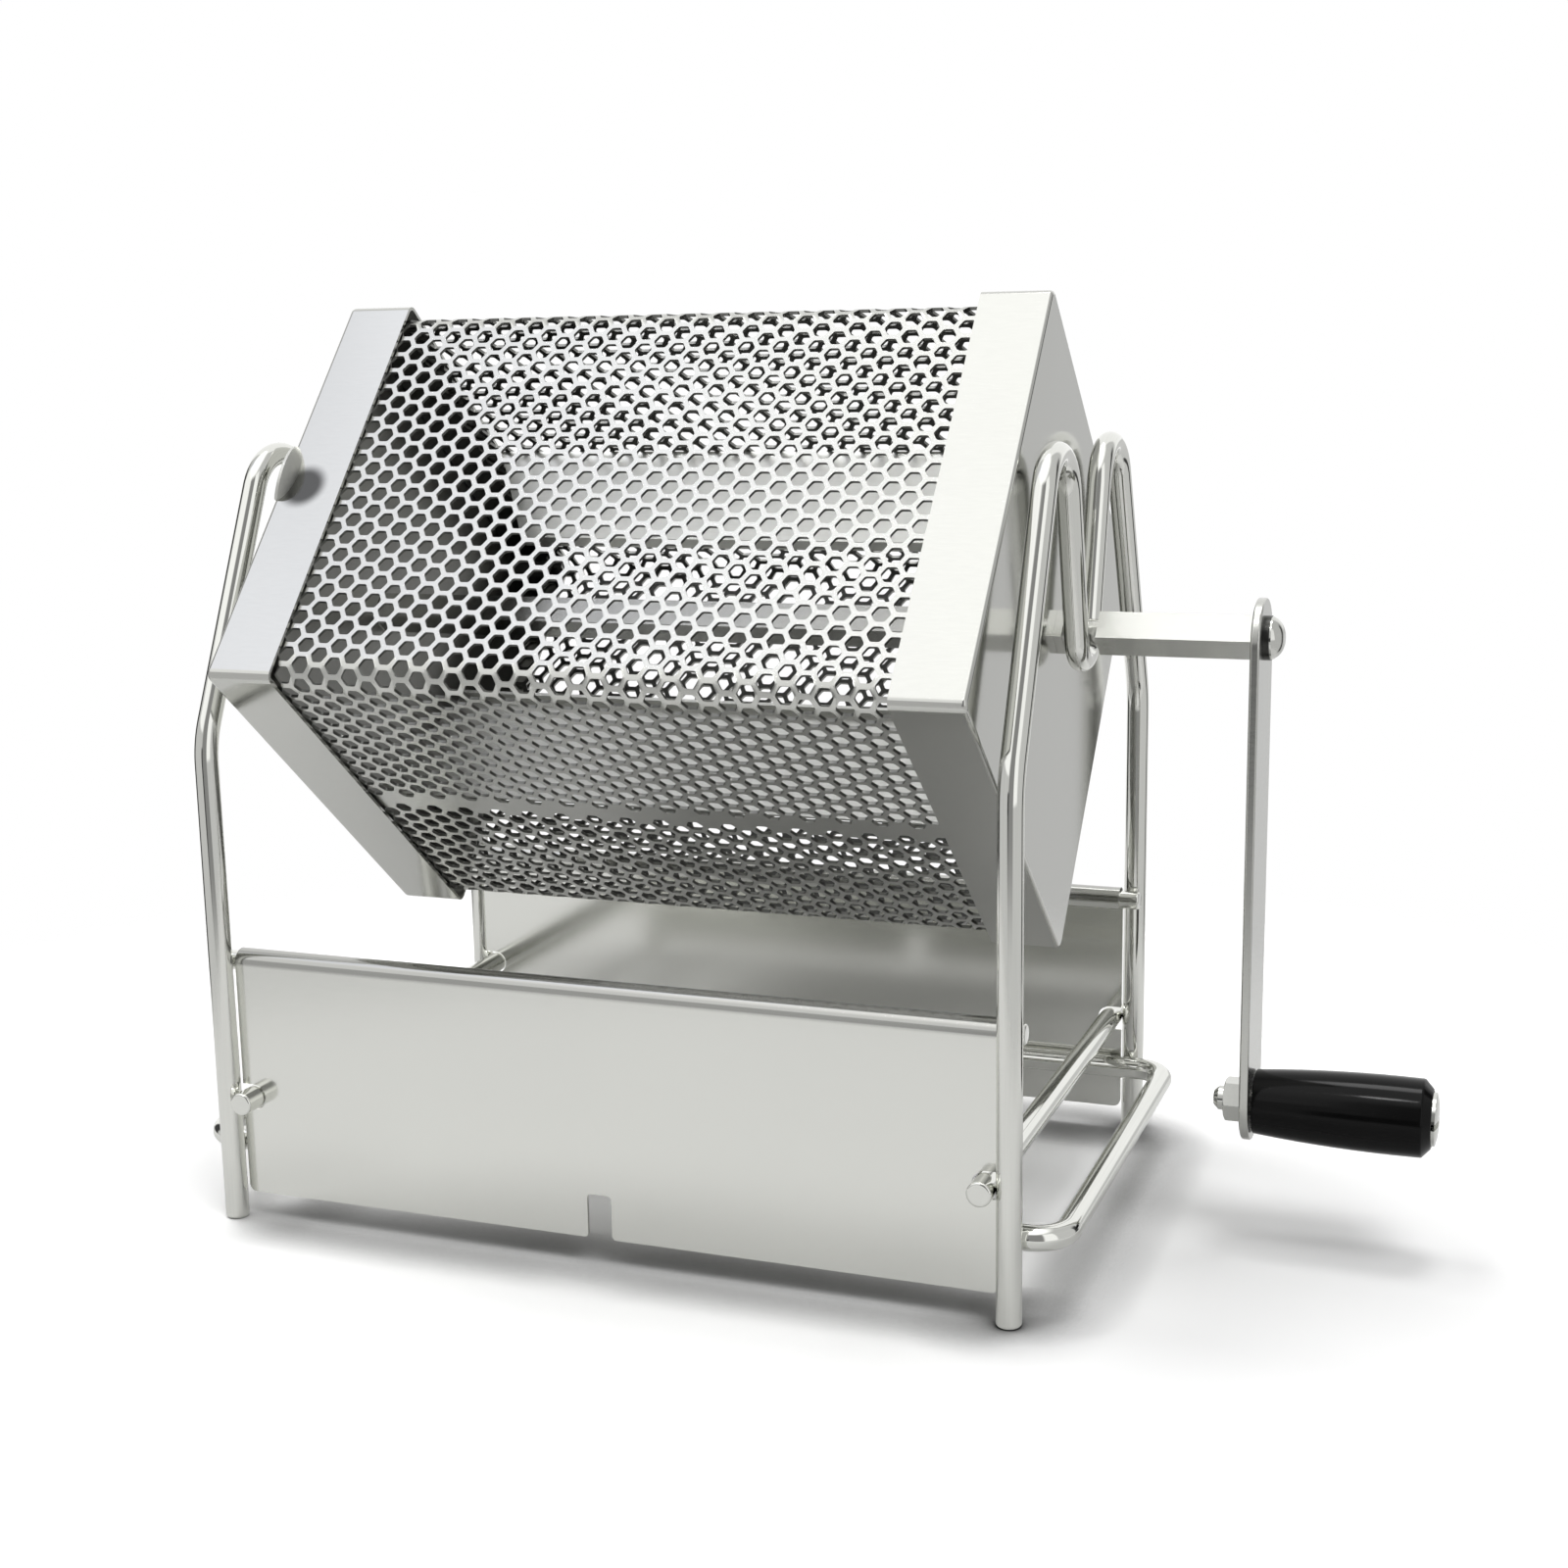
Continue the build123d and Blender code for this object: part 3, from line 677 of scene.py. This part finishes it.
# %% Bent paths
def bent_path(corners, radii, steps=20):
    """Corners joined by straight runs and arcs, with the unit heading at every point.

    An arc of radius r that turns by t starts r * tan(t / 2) before its corner. At the angle a its
    point lies r * sin(a) ahead and r * (1 - cos(a)) aside of the arc's start.
    """
    corners = np.array(corners)
    runs = np.diff(corners, axis=0)
    heads = runs / np.linalg.norm(runs, axis=1, keepdims=True)
    places, headings = [corners[:1]], [heads[:1]]
    for corner, radius, ahead, after in zip(corners[1:-1], radii, heads[:-1], heads[1:]):
        turn = np.arctan2(ahead[0] * after[1] - ahead[1] * after[0], ahead @ after)
        aside = np.sign(turn) * np.array([-ahead[1], ahead[0]])
        a = np.linspace(0, abs(turn), steps)[:, None]
        begin = corner - ahead * radius * tan(abs(turn) / 2)
        places.append(begin + radius * (np.sin(a) * ahead + (1 - np.cos(a)) * aside))
        headings.append(np.cos(a) * ahead + np.sin(a) * aside)
    places.append(corners[-1:])
    headings.append(heads[-1:])
    return np.vstack(places), np.vstack(headings)


def grid_faces(rows, columns, closed):
    """Quads of a grid of points whose columns go round; its rows go round too when it is closed."""
    place = np.arange(rows * columns).reshape(rows, columns)
    after = np.roll(place, -1, axis=1)
    below, below_after = np.roll(place, -1, axis=0), np.roll(after, -1, axis=0)
    quads = np.stack([place, below, below_after, after], -1)
    return (quads if closed else quads[:-1]).reshape(-1, 4)


print("paths ready")

# %% [markdown]
# A cut rod has its sharp edge taken off. The rounding is a few more circles at each end, which shrink
# along a quarter circle, and one point in the middle closes the end.

# %% Rods
rod_spokes = 32
edge_steps = 5


def rod(name, places, headings, normal, radius, edge):
    """Circle carried along a path in the plane with this normal; with no edge the path is closed.

    Point = path + radius * (cos(turn) * normal + sin(turn) * side), where side = normal x heading.
    At the ends radius is r - e + e * cos(b) and the way from the end is e * (1 - sin(b)).
    """
    reach = np.full(len(places), radius)
    if edge:
        b = np.linspace(pi / 2, 0, edge_steps)
        small = radius - edge + edge * np.cos(b)
        back = edge * (1 - np.sin(b))[:, None]
        first, last = places[:1] + back * headings[:1], places[-1:] - back[::-1] * headings[-1:]
        reach = np.concatenate([small, reach[1:-1], small[::-1]])
        places = np.vstack([first, places[1:-1], last])
        ends = [np.repeat(headings[i : i + 1], edge_steps, axis=0) for i in (0, len(headings) - 1)]
        headings = np.vstack([ends[0], headings[1:-1], ends[1]])
    turn = np.linspace(0, 2 * pi, rod_spokes, endpoint=False)
    normal = np.array(normal, float)
    side = np.cross(normal, headings)[:, None]
    circle = np.cos(turn)[:, None] * normal + np.sin(turn)[:, None] * side
    points = (places[:, None] + reach[:, None, None] * circle).reshape(-1, 3)
    faces = [grid_faces(len(places), rod_spokes, not edge)]
    count = len(points)
    if edge:
        ring = np.arange(rod_spokes)
        after = np.roll(ring, -1)
        shift = count - rod_spokes
        faces.append(np.stack([np.full(rod_spokes, count), ring, after], -1))
        faces.append(np.stack([np.full(rod_spokes, count + 1), after + shift, ring + shift], -1))
        points = np.vstack([points, places[:1], places[-1:]])
    made = piece(name + "_rod", points, faces, "stand", [name], [wire_polish])

    steps = np.linalg.norm(np.diff(places, axis=0), axis=1)
    along = np.repeat(np.concatenate([[0], np.cumsum(steps)]), rod_spokes)
    across = np.tile(np.stack([np.cos(turn), np.sin(turn)], -1) * radius, (len(places), 1))
    lay = np.zeros((len(points), 3))
    lay[:count] = np.column_stack([along, across])
    stored = made.data.attributes.new("lay", "FLOAT_VECTOR", "POINT")
    stored.data.foreach_set("vector", lay.ravel())


print("rods ready")

# %% [markdown]
# The side frames are one rod each: up a leg, over a hairpin, down to the cradle in which the shaft
# lies, and back over a second hairpin. Where the slanted runs would meet follows from their leans, and
# the hairpin's radius follows from how high its bend may reach. Sizes in this step are millimetres.

# %% Side frames
wire_r = 3.0
leg_x, leg_y = 103.2, 68.5
bend_z, bend_r = 125.0, 26.0
outer_lean, inner_lean = 0.459, 0.27
hairpin_top = 197.3
cradle_r = 6.48
leg_edge = 0.9

sine_inner = inner_lean / sqrt(1 + inner_lean**2)
valley_z = axis_z / mm - cradle_r / sine_inner
apex_z = (leg_y + outer_lean * bend_z + inner_lean * valley_z) / (outer_lean + inner_lean)
apex_y = inner_lean * (apex_z - valley_z)
outer_turn, inner_turn = np.arctan([outer_lean, inner_lean])
apex_ratio = cos((outer_turn - inner_turn) / 2) / sin((outer_turn + inner_turn) / 2)
hairpin_r = (apex_z - hairpin_top + wire_r) / (apex_ratio - 1)
half_corners = [(-leg_y, 0), (-leg_y, bend_z), (-apex_y, apex_z), (0, valley_z)]
corners = half_corners + [(-y, z) for y, z in half_corners[-2::-1]]
radii = [bend_r, hairpin_r, cradle_r, hairpin_r, bend_r]
places, headings = bent_path(corners, radii)
for name, x in (("side_frame_left", -leg_x), ("side_frame_right", leg_x)):
    rod(
        name,
        np.insert(places, 0, x, axis=1) * mm,
        np.insert(headings, 0, 0, axis=1),
        (1, 0, 0),
        wire_r * mm,
        leg_edge * mm,
    )

# %% [markdown]
# The rails and ties are straight lengths, and the base ring is one closed rod with four bends. Their
# sizes are read off the frame's own solids.

# %% Rails, ties and ring
rail_edge = 0.6 * mm
ring_corner_r = 8.0 * mm


def straight(name, axis, edge):
    """Rod along one axis that fills the box of its solid."""
    low, high = (np.array(corner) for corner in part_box(name))
    heading = np.eye(3)[axis]
    middle = (low + high) / 2
    half = (high - low)[axis] / 2
    places = middle + np.array([[-half], [half]]) * heading
    places = np.insert(places, 1, [middle - (half - edge) * heading, middle + (half - edge) * heading], 0)
    rod(name, places, np.tile(heading, (4, 1)), (0, 0, 1), (high - low)[2] / 2, edge)


for name, axis in (("top_rail_front", 0), ("top_rail_back", 0), ("side_tie_left", 1), ("side_tie_right", 1)):
    straight(name, axis, rail_edge)

low, high = (np.array(corner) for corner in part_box("base_ring"))
half_x, half_y = (high - low)[:2] / 2 - wire_r * mm
corners = [(0, -1), (1, -1), (1, 1), (-1, 1), (-1, -1), (0, -1)] * np.array([half_x, half_y])
places, headings = bent_path(corners, [ring_corner_r] * 4)
rod(
    "base_ring",
    np.insert(places[:-1], 2, (low + high)[2] / 2, axis=1),
    np.insert(headings[:-1], 2, 0, axis=1),
    (0, 0, 1),
    wire_r * mm,
    0,
)

# %% [markdown]
# ## Lid and end cap
#
# Both are shallow square pans, folded and polished outside, with a square hole for the shaft. A pan is
# a profile carried round a rounded square. Every step of the profile has its own square: how far out
# its walls lie, how large its corners are rounded, and where it lies along the axis. The polish is on
# the outside only: inside, the pans are rougher, and their darker grey is painted shade.

# %% Square pans
cap_bend, cap_edge, cap_play = 2.4 * mm, 1.1 * mm, 0.5 * mm
cap_hole, hole_corner = 3.85 * mm, 0.2 * mm
corner_steps, fold_steps = 9, 5
loop_points = 4 * corner_steps


def square_loop(half, radius):
    """Rounded square: four centres half - radius out, and a quarter circle of radius round each."""
    quarter = np.arange(4)[:, None]
    turn = np.radians(90 * quarter + np.linspace(0, 90, corner_steps))
    diagonal = np.radians(90 * quarter + 45)
    centre = (half - radius) * sqrt(2)
    u = centre * np.cos(diagonal) + radius * np.cos(turn)
    v = centre * np.sin(diagonal) + radius * np.sin(turn)
    return np.stack([u, v], -1).reshape(-1, 2)


def pan(outside, rim, half, hole):
    """Points and faces of a pan: out over the end face, round its edge, down the flange and back inside."""
    inward = np.sign(rim - outside)
    b = np.linspace(0, pi / 2, fold_steps)
    drawn_in = cap_edge * (1 - np.sin(b))
    down = cap_edge * (1 - np.cos(b))
    halves = np.concatenate([[hole], half - drawn_in, [half, half - sheet, half - sheet, hole]])
    inner_bend = cap_bend - sheet
    flange = [cap_bend, inner_bend, inner_bend, hole_corner]
    bends = np.concatenate([[hole_corner], cap_bend - drawn_in, flange])
    depth = np.concatenate([[0], down, [abs(rim - outside)] * 2, [sheet] * 2])
    loops = [square_loop(h, r) for h, r in zip(halves, bends)]
    u, v = np.vstack(loops).T
    x = np.repeat(outside + inward * depth, loop_points)
    quads = grid_faces(len(halves), loop_points, True)
    if inward > 0:
        quads = quads[:, ::-1]
    shown = (fold_steps + 2) * loop_points
    return in_drum(x, u, v), quads[:shown], quads[shown:]


cap_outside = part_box("end_cap")[1].x
cap_half = mantle_half + sheet + cap_play
points, outer, inner = pan(cap_outside, cap_rim, cap_half, cap_hole)
piece(
    "end_cap_pan",
    points,
    [outer, inner],
    "drum",
    ["end_cap"],
    [pan_polish, pan_inside_shade],
    [0, 1],
)

# %% [markdown]
# The lid has a finger tab at the outer edge of one flange. It is a tongue pressed up out of the sheet:
# its foot bows into the flange, it is tallest in the middle, and its rim leans outwards, so a
# fingertip finds a hollow behind it. Beside its foot lies a soft dark patch, the tongue's shadow and
# dark reflection on the flange. It is painted into the polish as a painted shadow, worked out from the
# distance to one point of the flange.

# %% Lid with its tab
lid_hole = 4.1 * mm
tab_half, tab_offset = 8.4 * mm, 2.5 * mm
tab_rise, tab_foot = 4.6 * mm, 0.5 * mm
tab_bow, tab_lean = 3.2 * mm, 1.4 * mm
tab_end, tab_steps, tab_rows = 0.985, 25, 9
# painted shadow of the tab on the flange, beside its foot
tab_shadow_x, tab_shadow_down = -85.6 * mm, 1.4 * mm
tab_shadow_even, tab_shadow_end = 3.9 * mm, 7.5 * mm
tab_shadow_depth = 0.84


def finger_tab(outside, half):
    """Curved tongue: x = foot + w * (bow - lean * h^1.5), rising by h * rise * w, w = (1 - s^2)^0.7.

    s runs along the tongue from almost -1 to almost 1, and h from 0 at its foot, just under the flange,
    to 1 at its rim.
    """
    s = np.linspace(-tab_end, tab_end, tab_steps)[:, None]
    h = np.linspace(0, 1, tab_rows)
    swell = (1 - s**2) ** 0.7
    x = outside + sheet / 2 + (tab_bow - tab_lean * h**1.5) * swell
    up = half - tab_foot + h * (tab_foot + tab_rise * swell)
    u = -tab_offset + tab_half * s + 0 * h
    face = [np.stack([x + side * sheet / 2, u, -up], -1) for side in (1, -1)]
    loop = np.concatenate([face[0], face[1][:, ::-1]], axis=1)
    rows, columns = loop.shape[:2]
    x, u, v = loop.reshape(-1, 3).T
    place = np.arange(rows * columns).reshape(rows, columns)
    caps = [np.stack([p[:-1], p[1:], q[1:], q[:-1]], -1) for p, q in tab_ends(place)]
    return in_drum(x, u, v), np.vstack([grid_faces(rows, columns, False), *caps])


def tab_ends(place):
    """The two narrow ends of the tongue: front points and the back points across from them."""
    half = place.shape[1] // 2
    first, last = place[0], place[-1]
    yield first[:half], first[half:][::-1]
    yield last[half:][::-1], last[:half]


# painted shadow: the tab's shadow and dark reflection on the flange, darkening round one point
tab_shadow_at = in_drum(np.array([tab_shadow_x]), np.array([tab_shadow_down]), np.array([-cap_half]))[0]
painted_shadow = (tab_shadow_at.tolist(), tab_shadow_even, tab_shadow_end, tab_shadow_depth)
lid_polish = steel("lid_polish", 0.55, 0.12, pan_grain, 0.5, painted_shadow=painted_shadow)
tab_satin = steel("tab_satin", 0.62, 0.40, even_grain, 0.8)
lid_outside = lid_rim - (cap_outside - cap_rim)
points, outer, inner = pan(lid_outside, lid_rim, cap_half, lid_hole)
tab_points, tab_faces = finger_tab(lid_outside, cap_half)
piece(
    "lid_pan",
    np.vstack([points, tab_points]),
    [outer, tab_faces + len(points), inner],
    "lid",
    ["lid"],
    [lid_polish, pan_inside_shade, tab_satin],
    [0, 2, 1],
)

# %% [markdown]
# ## Grip
#
# The grip is turned: it swells from the arm outwards and runs on almost even, square at the arm and
# bevelled at the far end, with a bore for its bolt and a pocket for the bolt's head. Its profile is
# given like a rod's path, by corners and radii in millimetres, and goes once round the section.

# %% Grip
def lathe(profile, height, spokes=72):
    """Closed profile (x, r) turned about a line along X: (x, r * sin(turn), height + r * cos(turn))."""
    x, r = profile[:, :, None].transpose(1, 0, 2)
    turn = np.linspace(0, 2 * pi, spokes, endpoint=False)
    points = np.stack([x + 0 * turn, r * np.sin(turn), height + r * np.cos(turn)], -1)
    return points.reshape(-1, 3), grid_faces(len(profile), spokes, True)


grip_low, grip_high = (np.array(corner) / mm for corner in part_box("grip"))
grip_in, grip_out = grip_low[0], grip_high[0]
grip_z = (grip_low + grip_high)[2] / 2
barrel_in, barrel_out = 7.9, 9.5
barrel_peak, barrel_bend = 9.83, 330.0
bevel_run, bevel_drop = 2.1, 2.3
bore, pocket, pocket_deep = 3.58, 6.8, 2.8
inner_edge, face_edge, bevel_edge = 0.2, 0.3, 0.8
profile_steps = 9

corners = [
    ((grip_in + grip_out) / 2, bore),
    (grip_in, bore),
    (grip_in, barrel_in),
    ((grip_in + grip_out - bevel_run) / 2, barrel_peak),
    (grip_out - bevel_run, barrel_out),
    (grip_out, barrel_out - bevel_drop),
    (grip_out, pocket),
    (grip_out - pocket_deep, pocket),
    (grip_out - pocket_deep, bore),
    ((grip_in + grip_out) / 2, bore),
]
radii = [inner_edge, face_edge, barrel_bend, bevel_edge, face_edge] + [inner_edge] * 3
profile, _ = bent_path(corners, radii, profile_steps)
points, faces = lathe(profile[:-1] * mm, grip_z * mm)
piece("grip_barrel", points, [faces], "grip", ["grip"], [grip_black])

# %% [markdown]
# ## The other solids
#
# Shields, vanes, shaft, crank and fasteners keep the shape they have in the frame and only get their
# finish.

# %% Solids that keep their shape
finish_of = {
    "wind_shield_front": shield_satin,
    "wind_shield_back": shield_satin,
    "vane_upper": vane_painted_light,
    "vane_lower": vane_painted_shade,
    "drive_shaft": bar_brush,
    "crank_arm": bar_brush,
    "crank_washer": washer_dark,
    "crank_screw": head_turned,
    "grip_bolt": head_turned,
    "grip_nut": head_turned,
}
for name, finish in finish_of.items():
    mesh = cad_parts[name].data
    mesh.materials.clear()
    mesh.materials.append(finish)
print("solids with a new finish:", len(finish_of))

# %% [markdown]
# ## View
#
# Colours are shown as they are, with the standard view transform.

# %% View
scene.view_settings.view_transform = "Standard"
